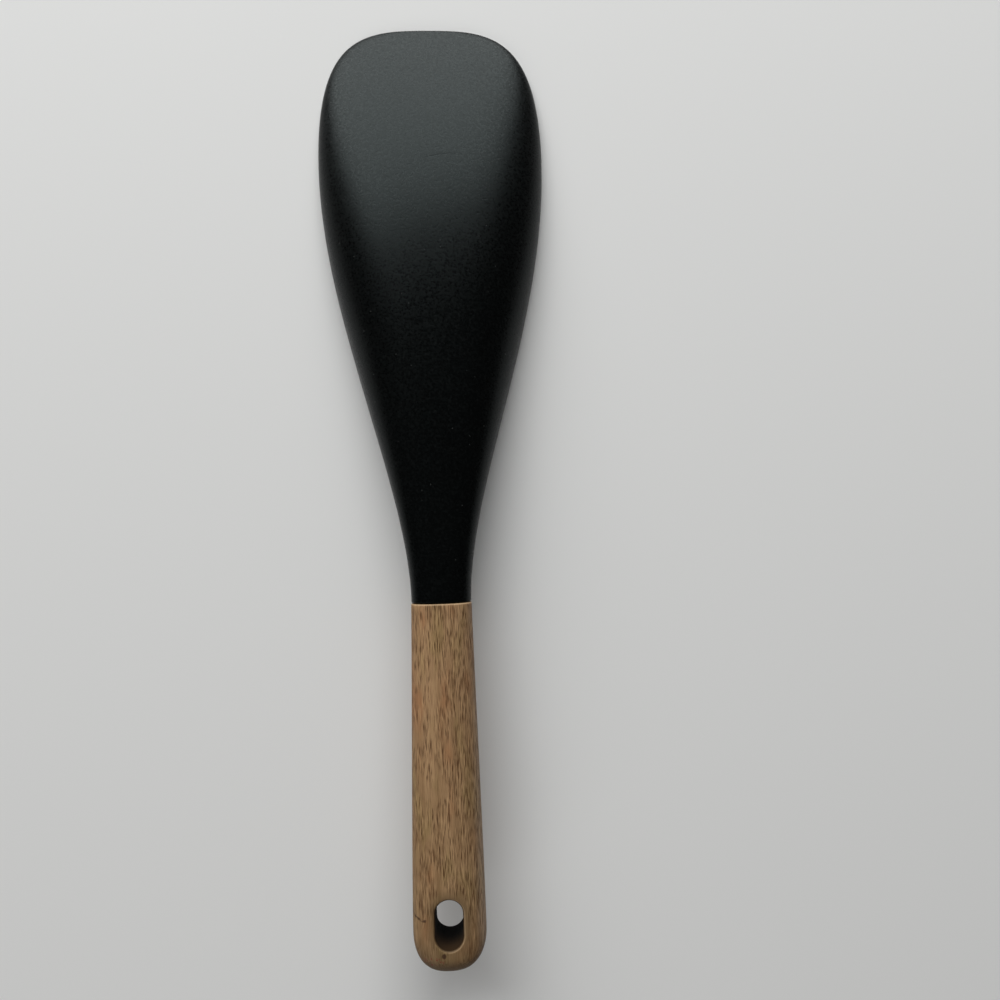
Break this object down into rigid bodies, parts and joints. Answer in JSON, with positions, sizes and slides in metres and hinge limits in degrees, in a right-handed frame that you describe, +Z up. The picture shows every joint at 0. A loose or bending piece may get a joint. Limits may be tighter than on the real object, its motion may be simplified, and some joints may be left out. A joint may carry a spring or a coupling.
{
  "type": "spoon spatula",
  "caption": "Long kitchen spoon spatula: a hollow silicone scoop head moulded over a stiff core, glued to a tapered wooden handle with a hanging slot.",
  "frame": {"origin": "on the table under the middle of the tool's bounding box, with the tool lying face down on the rim of its bowl and its handle in the air", "axes": "+Y along the tool from the handle to the tip, +Z up out of the convex back, +X across to the right"},
  "size_m": [0.0788, 0.3194, 0.0285],
  "materials": {
    "silicone": "matte charcoal-black moulded silicone with a fine grain",
    "nylon": "dark moulded nylon, hidden inside the silicone",
    "adhesive": "cured amber epoxy, hidden inside the handle",
    "wood": "sanded tan hardwood with short dark pores along the grain and a dry oil finish"
  },
  "bodies": {
    "root": {"silicone_head": "silicone", "nylon_core": "nylon", "tang_adhesive": "adhesive", "wooden_handle": "wood"}
  },
  "joints": []
}
